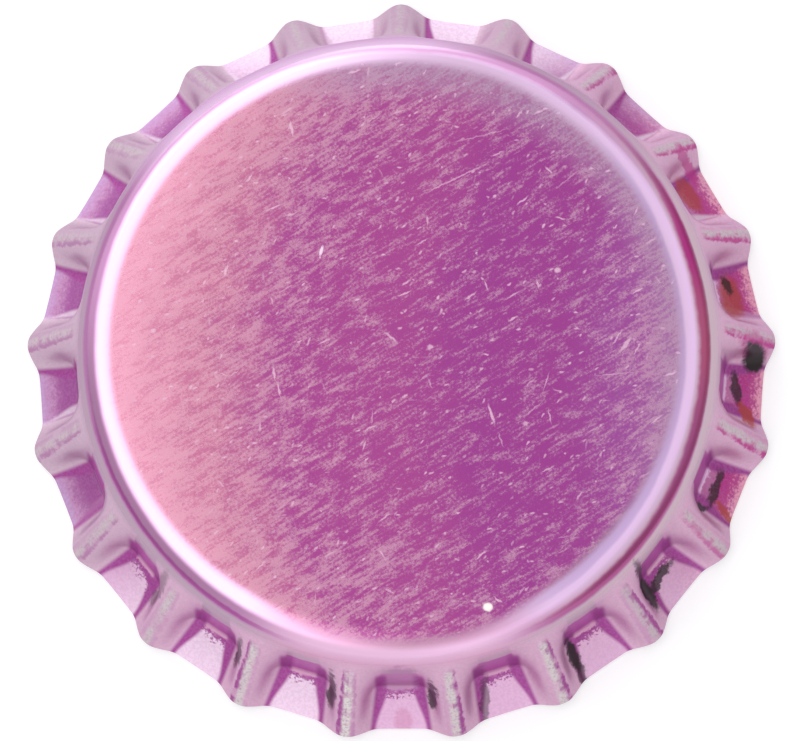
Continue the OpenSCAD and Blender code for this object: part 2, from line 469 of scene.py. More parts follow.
@dataclass(frozen=True)
class TurnedPiece:
    """A piece whose rings run round the axis, with or without flutes.

    Its columns crowd towards the flutes' crests by the power `spread`, and `hollow` is how
    much further out the rim lies halfway between two flutes.
    """

    name: str
    rings: list[Ring]
    flutes: int
    columns: int
    flute_w: float
    hollow: float = 0.0
    spread: float = 1.0
    # points closer than this become one, in metres
    merge: float = 2e-7

    @staticmethod
    def flute_share(add: Add, x: Wire, half: Wire, measure: Callable[[str], Wire]) -> Wire:
        """Cross-section of a flute: round crest, straight flanks, hollow feet.

        Args:
            add: Adds a node to the tree.
            x: Distance from the flute's middle.
            half: Half of the flute's width.
            measure: Reads one measure of the ring that a point belongs to.

        Returns:
            The share of the way from the floor line, 0, to the crest, 1.
        """
        deep, crest_r, foot_r = measure("deep"), measure("crest_r"), measure("foot_r")
        crest_x, foot_x = measure("crest_x"), measure("foot_x")
        top = add(MINUS, deep, crest_r)

        def bow(radius: Wire, run: Wire) -> Wire:
            """Rise of a circle of that radius at a run from its middle."""
            left = add(MINUS, add(TIMES, radius, radius), add(TIMES, run, run))
            return add(ROOT, add(HIGHER, left, 0.0))

        on_crest = add(PLUS, top, bow(crest_r, x))
        edge = add(PLUS, top, bow(crest_r, crest_x))
        slid = add(TIMES, add(MINUS, x, crest_x), measure("flank"))
        on_flank = add(MINUS, edge, slid)
        on_foot = add(MINUS, foot_r, bow(foot_r, add(MINUS, half, x)))
        height: Wire = 0.0
        for end, within in ((half, on_foot), (foot_x, on_flank), (crest_x, on_crest)):
            height = add(SWITCH, add(ABOVE, x, end), within, height)
        return add(OVER, height, deep, use_clamp=True)

    def tree(self) -> bpy.types.NodeTree:
        """Builds the node tree that lays the rings round the axis.

        Returns:
            The tree, with the piece's sizes as named inputs.
        """
        tree = bpy.data.node_groups.new(self.name + "_round", "GeometryNodeTree")
        for label, kind in (
            ("Rings", "Geometry"), ("Flutes", "Int"), ("Columns", "Int"),
            ("Flute width", "Float"), ("Hollow", "Float"), ("Spread", "Float"),
            ("Material", "Material"),
        ):
            tree.interface.new_socket(label, in_out="INPUT", socket_type="NodeSocket" + kind)
        tree.interface.new_socket("Piece", in_out="OUTPUT", socket_type="NodeSocketGeometry")
        add = partial(add_node, tree)
        given = add("NodeGroupInput").outputs

        # a grid of side 1 about the origin, with a row for each ring and a column for each
        # step round the axis
        count = add("GeometryNodeAttributeDomainSize", given["Rings"]).outputs["Point Count"]
        around = add(PLUS, given["Columns"], 1.0)
        grid = add("GeometryNodeMeshGrid", 1.0, 1.0, around, count).outputs["Mesh"]
        spot = add(SPLIT, add("GeometryNodeInputPosition")).outputs
        across = add(PLUS, spot["X"], 0.5)
        rank = add(PLUS, spot["Y"], 0.5)
        ring = add(ROUND, add(TIMES, rank, add(MINUS, count, 1.0)))

        def measure(key: str) -> Node:
            """Reads one measure of the ring that a point belongs to."""
            named = add("GeometryNodeInputNamedAttribute", key, data_type="FLOAT")
            return add("GeometryNodeSampleIndex", given["Rings"], named, ring, data_type="FLOAT")

        place = add("GeometryNodeInputPosition")
        low = add("GeometryNodeSampleIndex", given["Rings"], place, ring, data_type="FLOAT_VECTOR")
        low = add(SPLIT, low).outputs
        down = measure("down")

        # each flute takes an equal share of the circle, with columns closest on its crest,
        # and the first one points along +Y
        pitch = add(OVER, math.tau, given["Flutes"])
        half_pitch = add(TIMES, pitch, 0.5)
        places = add(TIMES, across, given["Flutes"])
        flute = add(ROUND, places)
        off = add(TIMES, add(MINUS, places, flute), 2.0)
        turn = add(TIMES, add(POWER, add(SIZE, off), given["Spread"]), half_pitch)
        side = add(SIGN, off)
        x = add(TIMES, turn, low["X"])
        share = self.flute_share(add, x, add(TIMES, given["Flute width"], 0.5), measure)

        # the rim between two flutes lies a little hollow
        rest = add(MINUS, half_pitch, turn)
        swell = add(MINUS, add(OVER, 1.0, add(COSINE, rest)), 1.0)
        pull = add(TIMES, given["Hollow"], down)
        floor_out = add(TIMES, low["X"], add(PLUS, add(TIMES, swell, pull), 1.0))
        out = add(MIX, share, floor_out, measure("crest_out"), clamp_factor=False)
        up = add(MIX, share, low["Z"], measure("crest_up"), clamp_factor=False)
        angle = add(PLUS, add(TIMES, flute, pitch), add(TIMES, side, turn))
        angle = add(PLUS, angle, math.pi / 2)
        east, north = add(TIMES, out, add(COSINE, angle)), add(TIMES, out, add(SINE, angle))
        point = add("ShaderNodeCombineXYZ", east, north, up)

        # what the finishes read is kept on the points before they move
        kept = grid
        for key, value in (
            ("share", share), ("along", measure("along")), ("down", down),
            ("far", add(TIMES, x, 1 / MM)), ("aside", add(TIMES, add(TIMES, side, x), 1 / MM)),
            ("flute", add(MODULO, flute, given["Flutes"])),
        ):
            kept = add("GeometryNodeStoreNamedAttribute", kept, None, key, value,
                       data_type="FLOAT", domain="POINT")
        moved = add("GeometryNodeSetPosition", kept, None, ("Position", point))
        moved = add("GeometryNodeFlipFaces", moved)
        closed = add("GeometryNodeMergeByDistance", moved, ("Distance", self.merge))
        smooth = add("GeometryNodeSetShadeSmooth", closed, ("Shade Smooth", True))
        real = add("GeometryNodeRealizeInstances", smooth)
        dressed = add("GeometryNodeSetMaterial", real, ("Material", given["Material"]))
        add("NodeGroupOutput", dressed)
        return tree

    def make(self, material: bpy.types.Material) -> bpy.types.Object:
        """Runs the node tree and keeps its result as a plain mesh.

        Args:
            material: What the piece is made of.

        Returns:
            The piece's object, at the origin.
        """
        table = ring_table(self.name + "_rings", self.rings, self.flute_w)
        maker = bpy.data.objects.new(self.name + "_maker", table)
        bpy.context.scene.collection.objects.link(maker)
        modifier = maker.modifiers.new("Round", "NODES")
        modifier.node_group = self.tree()
        values = {
            "Flutes": self.flutes, "Columns": self.columns, "Flute width": self.flute_w * MM,
            "Hollow": self.hollow, "Spread": self.spread, "Material": material,
        }
        for item in modifier.node_group.interface.items_tree:
            if item.in_out == "INPUT" and item.name in values:
                modifier[item.identifier] = values[item.name]
        piece = bpy.data.objects.new(self.name, plain_mesh(maker, self.name))
        bpy.data.objects.remove(maker)
        bpy.context.scene.collection.objects.link(piece)
        return piece


def plain_mesh(maker: bpy.types.Object, name: str) -> bpy.types.Mesh:
    """The mesh that an object's modifiers give.

    Args:
        maker: The object with the modifiers.
        name: Name of the new mesh.

    Returns:
        A mesh of its own, without modifiers.
    """
    graph = bpy.context.evaluated_depsgraph_get()
    graph.update()
    mesh = bpy.data.meshes.new_from_object(
        maker.evaluated_get(graph), preserve_all_data_layers=True, depsgraph=graph
    )
    mesh.name = name
    return mesh


# ---------------------------------------------------------------- finishes

Stops = tuple[tuple[float, Tint], ...]
# what limits a coat of tint: a side, a fade of a reading, a value or a node
Part = Side | tuple[Any, ...] | float | Node
# the side where the painted reflections turn from pink to magenta
RIGHT = Side(-10, 0.4, 0.85)
# a mark reaches this far through the cap's height, in millimetres
REACH = 1e4


@dataclass(frozen=True)
class Mark:
    """One scratch, dot, rubbed place, or patch of painted shade or reflection, in millimetres and
    degrees.
    """

    x: float
    y: float
    turn: float
    length: float
    width: float = 0.09
    depth: float = 1.0
    tint: Tint = Tint.MARK

    def ink(self, add: Add, at: Wire, edge: Fade) -> Node:
        """How strong the mark is at a place.

        Args:
            add: Adds a node to the tree.
            at: The place in millimetres.
            edge: Where the mark starts and is full, in its own half sizes from its middle.

        Returns:
            The strength, from 0 off the mark to its depth on it.
        """
        size = (self.length / 2, self.width / 2, REACH)
        turned = (0, 0, math.radians(self.turn))
        own = add(MAPPING, at, (self.x, self.y, 0), turned, size, vector_type="TEXTURE")
        return add(EASE, add(LENGTH, own), *edge, 0.0, self.depth)


@dataclass(frozen=True)
class Strokes:
    """A scatter of short strokes, one at most to each cell, in millimetres and degrees."""

    cell: float
    length: float
    width: float
    turn: float
    spread: float
    # share of the cells that hold one, a stroke's fade, and how strong it is by luck
    share: float
    edge: Fade = (1.0, 0.3)
    force: Pair = (0.3, 1.0)

    def ink(self, add: Add, at: Wire) -> Node:
        """How strong the strokes are at a place.

        Args:
            add: Adds a node to the tree.
            at: The place in millimetres.

        Returns:
            The strength, from 0 off the strokes to 1 on the strongest.
        """
        small = add(SCALED, at, 1 / self.cell)
        cells = add("ShaderNodeTexVoronoi", small, 1.0, voronoi_dimensions="2D").outputs
        luck = add("ShaderNodeSeparateColor", cells["Color"]).outputs
        turns = (-math.radians(self.turn + by) for by in (-self.spread, self.spread))
        angle = add(RANGE, luck["Red"], 0.0, 1.0, *turns)
        off = add(ALL_MINUS, small, cells["Position"])
        level = add("ShaderNodeVectorRotate", off, ("Angle", angle), rotation_type="Z_AXIS")
        shape = add(ALL_TIMES, level, (self.cell / self.length, self.cell / self.width, 0))
        has = add(BELOW, luck["Green"], self.share)
        ink = add(TIMES, add(EASE, add(LENGTH, shape), *self.edge), has)
        return add(TIMES, ink, add(RANGE, luck["Blue"], 0.0, 1.0, *self.force))


@dataclass
class Sheet:
    """What the lacquer's looks read of a place on the pressed sheet.

    The readings are the place, its distance and direction from the axis, the measures
    that the shell's points carry, and two noises that fray edges.
    """

    add: Add
    frays: Texture = (2.2, 3.0, 0.7)
    grits: Texture = (8.0, 3.0, 0.65)

    def __post_init__(self) -> None:
        """Adds the nodes that take the readings."""
        add = self.add
        self.mm = millimetres(add)
        flat = add(ALL_TIMES, self.mm, (1, 1, 0))
        self.out, self.level = add(LENGTH, flat), add(UNIT, flat)
        way = add(SPLIT, self.level).outputs
        self.east, self.north = way["X"], way["Y"]
        self.along, self.share, self.down, self.aside, self.far, self.flute = (
            add("ShaderNodeAttribute", attribute_name=key).outputs["Fac"]
            for key in ("along", "share", "down", "aside", "far", "flute")
        )
        self.fray = add(MINUS, add(NOISE, self.mm, *self.frays), MEAN)
        self.grit = add(NOISE, self.mm, *self.grits)

    def strength(self, *parts: Part) -> Wire:
        """The strength of a coat: the product of what limits it.

        Args:
            parts: Each is the side that it lies towards, a fade of a reading, or a value.
                A fade is the reading, or its name, followed by the fade's own values.

        Returns:
            The strength, from 0 to 1.
        """
        product: Wire = None
        for part in parts:
            if isinstance(part, Side):
                part = part.nearness(self.add, self.level)
            elif isinstance(part, tuple):
                reading = getattr(self, part[0]) if isinstance(part[0], str) else part[0]
                part = self.add(EASE, reading, *part[1:])
            product = part if product is None else self.add(TIMES, product, part)
        return product

    def coat(self, ground: Wire, tint: Wire, *parts: Part) -> Node:
        """Lays a tint over a ground, as strong as its parts make it."""
        return self.add(LAYER, self.strength(*parts), ground, tint)

    def shaken(self, noise: Wire, reach: float) -> Node:
        """The place, pushed about by a noise's colour, so that what is drawn there is ragged."""
        push = self.add(ALL_MINUS, noise.outputs["Color"], (MEAN, MEAN, MEAN))
        return self.add(ALL_TIMES_PLUS, push, (reach, reach, 0), self.mm)


@dataclass(frozen=True)
class Bands:
    """Runs of painted highlights, shade and reflections along the sheet: on the left, on the right
    and on the lowest side.
    """

    left: Stops
    right: Stops
    low: Stops
    lowest: Side

    def paint(self, sheet: Sheet, at: Wire) -> Node:
        """Lays the three runs beside each other.

        Args:
            sheet: The place on the sheet.
            at: How far along the runs it lies, from 0 to 1.

        Returns:
            The colour.
        """
        left, right, low = (
            sheet.add(STOPS, at, stops=run) for run in (self.left, self.right, self.low)
        )
        return sheet.coat(sheet.coat(left, right, RIGHT), low, self.lowest)


@dataclass(frozen=True)
class Panel:
    """The flat top: fine rubbed grain, flecks and scratches over deep lacquer, whose tint is painted
    paler and pinker at the left as a reflection.
    """

    # its edge along the sheet, which lies further out below and further in at the right
    edge: Fade = (12.5, 11.95)
    edge_below: Fade = (-0.85, -1.0, 0.0, 0.4)
    edge_right: Fade = (0.3, 0.8, 0.0, 0.3)
    # the tint turns from side to side, paler and pinker at the left as a painted reflection of the
    # light there, along a front that bows about a level and sways
    front_level: float = 1.0
    front_bow: float = -0.022
    front_sway: float = 2.4
    front_noise: Texture = (0.6, 3.0, 0.6)
    front: Fade = (-10.8, 13.2)
    pales: Stops = (
        (0.02, Tint.SALMON), (0.16, Tint.ROSE), (0.28, Tint.FLECK), (0.8, Tint.DIM_FLECK),
    )
    deeps: Stops = (
        (0.02, Tint.SALMON_DEEP), (0.16, Tint.ROSE_DEEP), (0.3, Tint.WINE), (0.5, Tint.WINE),
        (0.62, Tint.DEEP), (0.78, Tint.DEEP), (0.9, Tint.PLUM),
    )
    # share of the ground that is rubbed pale, from side to side and more at the edge
    cover: tuple[Pair, ...] = (
        (0.0, 0.62), (0.16, 0.6), (0.26, 0.5), (0.38, 0.36), (0.52, 0.28), (0.75, 0.24), (0.9, 0.38),
        (1.0, 0.6),
    )
    worn_edge: Fade = (9.0, 12.2, 0.0, 0.15)
    # rubbed places, each with how much it adds to that share
    smudges: tuple[Mark, ...] = (
        Mark(-0.9, -9.2, 12, 5.0, 2.2, 0.26),
        Mark(9.9, -0.2, 60, 3.2, 2.4, 0.2),
        Mark(-3.3, 4.3, 30, 3.0, 1.8, 0.08),
        Mark(-1.2, 9.4, 8, 9.0, 3.0, 0.1),
    )
    smudge_edge: Fade = (1.3, 0.1)
    # the rubbing's lines are a few hundredths of a millimetre apart and drawn coarser, to
    # show: lumps to the millimetre along them and across them
    grain_turn: float = 31.0
    streak: tuple[float, float, float] = (1.15, 6.5, 0.0)
    streaks: Texture = (1.0, 3.0, 0.6)
    clump: tuple[float, float, float] = (0.9, 2.0, 0.0)
    clumps: Texture = (1.0, 2.0, 0.5)
    specks: Texture = (8.5, 3.0, 0.75)
    # how much of the grain is streaks, specks and clumps
    shares: tuple[float, float, float] = (0.48, 0.52, 0.36)
    rub_level: Pair = (0.86, 0.52)
    rub_edge: Fade = (-0.12, 0.12)
    # a dull haze at the upper right, that way in radians and millimetres
    haze_turn: float = 0.75
    haze_way: Fade = (2.0, 8.0)
    haze_out: Part = ("out", 10.1, 12.2)
    haze_grain: Fade = (0.36, 0.6, 0.45, 1.0)
    # how far a noise pushes the marks, their fade and strength, and the wear they come with
    jitter: float = 0.12
    jitter_noise: Pair = (5.0, 2.0)
    mark_edge: Fade = (1.1, 0.4)
    mark_force: float = 0.75
    rub_wear: float = 0.35
    least_wear: float = 0.3
    # short and long dashes along the grain, scratches every way, and dots
    strokes: tuple[Strokes, ...] = (
        Strokes(0.62, 0.15, 0.06, 32, 35, 0.4),
        Strokes(1.9, 0.42, 0.055, 31, 14, 0.35),
        Strokes(2.3, 0.3, 0.055, 90, 80, 0.5),
        Strokes(1.2, 0.07, 0.07, 0, 90, 0.4),
    )
    # the scratches and dots that stand out
    marks: tuple[Mark, ...] = tuple(
        Mark(*row)
        for row in (
            (2.35, 7.1, 26, 3.6, 0.09, 0.7), (-4.5, 9.37, -80, 0.8, 0.15),
            (-3.22, 4.05, 74, 0.6, 0.17, 0.8, Tint.AIRY), (3.95, -3.0, -74, 1.15, 0.14),
            (4.35, -4.1, -70, 0.8, 0.09, 0.6), (5.7, -2.8, 40, 1.3, 0.09, 0.6),
            (6.25, -1.65, 71, 1.05, 0.08, 0.7), (6.4, -3.1, -80, 0.8, 0.08, 0.8),
            (5.38, -3.4, 20, 0.3, 0.2, 0.8), (9.6, -0.05, 52, 1.0, 0.2, 0.8),
            (9.25, 0.25, 58, 0.9, 0.09, 0.8), (10.1, -0.2, 62, 0.8, 0.08, 0.7),
            (9.2, -1.3, 6, 2.2, 0.08, 0.5), (-5.2, -1.2, -82, 0.7, 0.12, 0.9),
            (-5.0, -1.9, -77, 0.75, 0.12, 0.9), (-7.35, -1.22, -27, 0.6, 0.07, 0.6),
            (-6.9, -1.2, 33, 0.6, 0.07, 0.6), (-7.25, 3.26, 72, 0.65, 0.13, 0.9),
            (-5.3, 1.9, -78, 0.5, 0.09, 0.7), (-0.25, 0.3, -41, 0.85, 0.13, 0.8),
            (1.37, -0.12, 20, 0.34, 0.26, 0.9), (6.75, 3.16, 0, 0.32, 0.28),
            (0.32, -2.2, 30, 0.35, 0.16, 0.9), (-10.3, 0.67, 40, 0.3, 0.22, 0.8),
            (-1.07, -3.1, 88, 0.8, 0.09, 0.5), (3.78, -11.2, 0, 0.5, 0.46, 1.0, Tint.CREAM),
            (3.5, 9.0, 14, 3.2, 0.07, 0.5), (7.2, 7.1, 38, 1.6, 0.07, 0.5),
        )
    )

    def within(self, sheet: Sheet) -> Node:
        """Tells the panel from the rest, by an edge that runs a little out of true.

        Args:
            sheet: The readings of the shell's place.

        Returns:
            1 on the panel, 0 past its edge.
        """
        add = sheet.add
        line = add(MINUS, sheet.along, add(EASE, sheet.north, *self.edge_below))
        line = add(PLUS, line, add(EASE, sheet.east, *self.edge_right))
        return add(EASE, line, *self.edge)

    def rubbed(self, sheet: Sheet, across: Wire) -> tuple[Node, Node]:
        """Where the grain is rubbed pale.

        Args:
            sheet: The place on the sheet.
            across: How far it lies from one side to the other, from 0 to 1.

        Returns:
            The rubbed share, from 0 to 1, and the grain.
        """
        add = sheet.add
        cover = add("ShaderNodeFloatCurve", 1.0, across)
        line = cover.mapping.curves[0]
        line.points[0].location, line.points[1].location = self.cover[0], self.cover[-1]
        for spot in self.cover[1:-1]:
            line.points.new(*spot)
        cover.mapping.update()
        extra = add(EASE, sheet.out, *self.worn_edge)
        for smudge in self.smudges:
            extra = add(PLUS, extra, smudge.ink(add, sheet.mm, self.smudge_edge))
        turned = add(MAPPING, sheet.mm, None, (0, 0, -math.radians(self.grain_turn)), (1, 1, 0))
        streaks = add(FLAT_NOISE, add(ALL_TIMES, turned, self.streak), *self.streaks)
        clumps = add(FLAT_NOISE, add(ALL_TIMES, turned, self.clump), *self.clumps)
        specks = add(FLAT_NOISE, sheet.mm, *self.specks)
        grain = add(TIMES_PLUS, streaks, self.shares[0], add(TIMES, specks, self.shares[1]))
        level = add(RANGE, add(PLUS, cover, extra), 0.0, 1.0, *self.rub_level)
        over = add(MINUS, add(TIMES_PLUS, clumps, self.shares[2], grain), level)
        return add(EASE, over, *self.rub_edge), grain

    def paint(self, sheet: Sheet) -> tuple[Node, Node]:
        """Lays the panel's tint, its rubbed grain and its marks.

        Args:
            sheet: The place on the sheet.

        Returns:
            Colour, and wear from 0 to 1.
        """
        add = sheet.add
        place = add(SPLIT, sheet.mm).outputs
        up = add(PLUS, place["Y"], self.front_level)
        front = add(TIMES_PLUS, add(TIMES, up, up), self.front_bow, place["X"])
        sway = add(FLAT_NOISE, sheet.mm, *self.front_noise)
        across = add(RANGE, add(TIMES_PLUS, sway, self.front_sway, front), *self.front)
        rub, grain = self.rubbed(sheet, across)
        deep, pale = (add(STOPS, across, stops=run) for run in (self.deeps, self.pales))
        colour = sheet.coat(deep, pale, rub)
        way = add(TOWARDS, sheet.mm, (math.cos(self.haze_turn), math.sin(self.haze_turn), 0))
        haze = (self.haze_out, (way, *self.haze_way), (grain, *self.haze_grain))
        colour = sheet.coat(colour, Tint.HAZE, *haze)

        at = sheet.shaken(add(FLAT_NOISE, sheet.mm, *self.jitter_noise), self.jitter)
        drawn = [(mark.tint, mark.ink(add, at, self.mark_edge)) for mark in self.marks]
        marks: Wire = 0.0
        for ink in [strokes.ink(add, at) for strokes in self.strokes] + [ink for _, ink in drawn]:
            marks = add(HIGHER, marks, ink)
        colour = sheet.coat(colour, Tint.MARK, marks, self.mark_force)
        for tint, ink in drawn:
            if tint is not Tint.MARK:
                colour = sheet.coat(colour, tint, ink)
        worn = add(HIGHER, add(TIMES, rub, self.rub_wear), marks)
        return colour, add(HIGHER, worn, self.least_wear)


@dataclass(frozen=True)
class Shoulder:
    """The bend round the panel: painted highlights and reflections in bands, with a painted line of
    dark reflection half way down it.
    """

    # the painted bands along the sheet, which run a little out of true round the cap as the
    # reflections that they stand for do
    span: Fade = (12.0, 15.0)
    skew: tuple[float, float, float] = (0.15, 0.11, 0)
    twist: tuple[float, float, float] = (0.26, 0.22, 0)
    wave: Texture = (0.8, 2.0, 0.6)
    wave_by: float = 0.12
    raised: Side = Side(52, 0.8, 0.97)
    raised_by: float = -0.15
    bands: Bands = Bands(
        left=(
            (0.0, Tint.SALMON), (0.06, Tint.PALE), (0.26, Tint.PALE), (0.34, Tint.VIOLET),
            (0.52, Tint.VIOLET), (0.56, Tint.DULL_RING),
        ),
        right=(
            (0.0, Tint.HAZE), (0.08, Tint.LAVENDER), (0.16, Tint.LAVENDER), (0.2, Tint.PALE),
            (0.32, Tint.PALE), (0.38, Tint.FLANK), (0.53, Tint.VIOLET), (0.59, Tint.RING),
        ),
        low=(
            (0.0, Tint.FLECK), (0.03, Tint.DUSK), (0.24, Tint.DUSK), (0.34, Tint.BLUSH),
            (0.43, Tint.BLUSH), (0.62, Tint.DUSK), (0.86, Tint.RING),
        ),
        lowest=Side(270, 0.85, 0.98),
    )
    # the painted line of dark reflection, in shares of the bend, how strong it is round the cap, and
    # its tones
    line: float = 0.47
    line_w: Pair = (0.036, 0.08)
    line_fray: float = 0.04
    line_edge: Fade = (1.5, 0.5)
    strong: Side = Side(-15, 0.45, 0.85)
    fair: Side = Side(222, 0.8, 0.95)
    fair_force: float = 0.8
    faint_force: float = 0.25
    gone: Side = Side(98, 0.8, 0.95)
    tones: tuple[tuple[Tint, Side], ...] = (
        (Tint.DEEP_RED, RIGHT), (Tint.LINE_REFLECTION, Side(-8, 0.9, 0.985)),
        (Tint.DIM_LINE_REFLECTION, Side(-36, 0.82, 0.97)),
    )
    # a painted highlight on the upper side, from about a third of the way down the bend
    pale: Side = Side(110, 0.74, 0.94)
    pale_from: Fade = (0.3, 0.42)

    def paint(self, sheet: Sheet) -> Node:
        """Lays the bend's painted bands and its painted line of dark reflection.

        Args:
            sheet: The place on the sheet.

        Returns:
            The colour.
        """
        add = sheet.add
        skew, twist = (add(TOWARDS, sheet.level, way) for way in (self.skew, self.twist))
        line = add(TIMES_PLUS, twist, sheet.east, add(PLUS, sheet.along, skew))
        wave = add(MINUS, add(NOISE, sheet.mm, *self.wave), MEAN)
        line = add(TIMES_PLUS, wave, self.wave_by, line)
        line = add(TIMES_PLUS, sheet.strength(self.raised), self.raised_by, line)
        bend = add(RANGE, line, *self.span)
        colour = self.bands.paint(sheet, bend)

        strong = sheet.strength(self.strong)
        force = add(HIGHER, sheet.strength(self.fair, self.fair_force), strong)
        force = add(HIGHER, force, self.faint_force)
        for gone in (self.bands.lowest, self.gone):
            force = add(TIMES, force, add(MINUS, 1.0, sheet.strength(gone)))
        off = add(SIZE, add(MINUS, bend, self.line))
        off = add(TIMES_PLUS, sheet.fray, self.line_fray, off)
        off = add(OVER, off, add(MIX, strong, *self.line_w))
        tone: Wire = Tint.DEEP
        for tint, side in self.tones:
            tone = sheet.coat(tone, tint, side)
        colour = sheet.coat(colour, tone, (off, *self.line_edge), force)
        return sheet.coat(colour, Tint.PALE, self.pale, (bend, *self.pale_from))


@dataclass(frozen=True)
class Walls:
    """The walls between the flutes: painted deep, as shade and dark reflection in these hollows, with
    a ragged edge that arches over their roots.
    """

    # their start along the sheet, which lies higher below, and their edge up the flutes
    top: Fade = (14.34, 14.56)
    below: Side = Side(270, 0.4, 0.75)
    below_by: float = -0.66
    fray: float = 0.5
    edge: Fade = (0.55, 0.15)
    # lighter on the lowest side as painted light, and deepest in the corners as painted shade
    light: Side = Side(270, 0.955, 0.99)
    corner: Part = ("share", 0.015, 0.08)

    def paint(self, sheet: Sheet, ground: Wire) -> Node:
        """Lays the walls over a ground.

        Args:
            sheet: The place on the sheet.
            ground: The colour under them.

        Returns:
            The colour.
        """
        add = sheet.add
        start = add(TIMES_PLUS, sheet.strength(self.below), self.below_by, sheet.along)
        start = add(TIMES_PLUS, sheet.fray, self.fray, start)
        inside = add(TIMES_PLUS, sheet.fray, self.fray, sheet.share)
        wall = sheet.coat(Tint.WALL, Tint.LIGHT_WALL, self.light)
        wall = sheet.coat(wall, Tint.DEEP, self.corner)
        return sheet.coat(ground, wall, (start, *self.top), (inside, *self.edge))


@dataclass(frozen=True)
class Flares:
    """The flared foot between the flutes: a painted highlight along the crease, then painted
    reflections and shade that run from deep to pale towards the rim.
    """

    # along the sheet in millimetres, and how far two noises fray what lies on it
    start: float = 17.0
    end: float = 19.6
    grit: float = 0.6
    fray: float = 0.35
    ragged: Fade = (0.14, 0.4)
    bands: Bands = Bands(
        left=(
            (0.0, Tint.WALL), (0.03, Tint.FLANK), (0.09, Tint.FLANK), (0.13, Tint.DIM),
            (0.54, Tint.DIM), (0.78, Tint.VIOLET), (1.0, Tint.MAUVE),
        ),
        right=(
            (0.0, Tint.WALL), (0.08, Tint.PALE), (0.2, Tint.PALE), (0.24, Tint.DARK),
            (0.37, Tint.DARK), (0.5, Tint.DEEP_RED), (0.76, Tint.DEEP_RED), (0.95, Tint.SALMON),
        ),
        low=(
            (0.0, Tint.WALL), (0.08, Tint.DUSK), (0.22, Tint.DUSK), (0.26, Tint.DEEP),
            (0.31, Tint.DEEP), (0.38, Tint.BLUSH), (1.0, Tint.BLUSH),
        ),
        lowest=Side(270, 0.35, 0.68),
    )
    # painted highlights on the flares at the lower left and at the top
    pale: Side = Side(240, 0.9, 0.98)
    pale_from: Fade = (0.28, 0.36)
    pale_force: float = 0.7
    airy: Side = Side(92, 0.82, 0.94)
    airy_force: float = 0.85
    # between the lowest flutes a painted shade also fills the corner that hung down, under a line
    # that slopes through the middle between two flutes, in millimetres from a flute's own
    hung: Side = Side(270, 0.3, 0.6)
    hung_middle: float = 2.17
    hung_slope: float = 0.5
    hung_level: float = 0.2
    hung_edge: Fade = (-0.04, 0.04)
    hung_from: Fade = (0.21, 0.26)

    def paint(self, sheet: Sheet, ground: Wire) -> Node:
        """Lays the flares over a ground.

        Args:
            sheet: The place on the sheet.
            ground: The colour above them.

        Returns:
            The colour.
        """
        add = sheet.add
        foot = add(RANGE, sheet.along, self.start, self.end)
        rough = add(TIMES, sheet.fray, self.fray)
        rough = add(TIMES_PLUS, add(MINUS, sheet.grit, MEAN), self.grit, rough)
        mottled = add(PLUS, foot, add(TIMES, rough, add(EASE, foot, *self.ragged)))
        colour = self.bands.paint(sheet, mottled)
        pale = (self.pale, (mottled, *self.pale_from), self.pale_force)
        colour = sheet.coat(colour, Tint.AIRY, *pale)
        colour = sheet.coat(colour, Tint.AIRY, self.airy, self.airy_force)

        tilt = add(TIMES, add(MINUS, self.hung_middle, sheet.far), add(SIGN, sheet.aside))
        level = add(TIMES_PLUS, add(TIMES, tilt, sheet.east), self.hung_slope, self.hung_level)
        under = add(MINUS, level, mottled)
        hung = ((under, *self.hung_edge), (foot, *self.hung_from), self.hung)
        colour = sheet.coat(colour, Tint.DEEP, *hung)
        return sheet.coat(ground, colour, add(ABOVE, sheet.along, self.start))


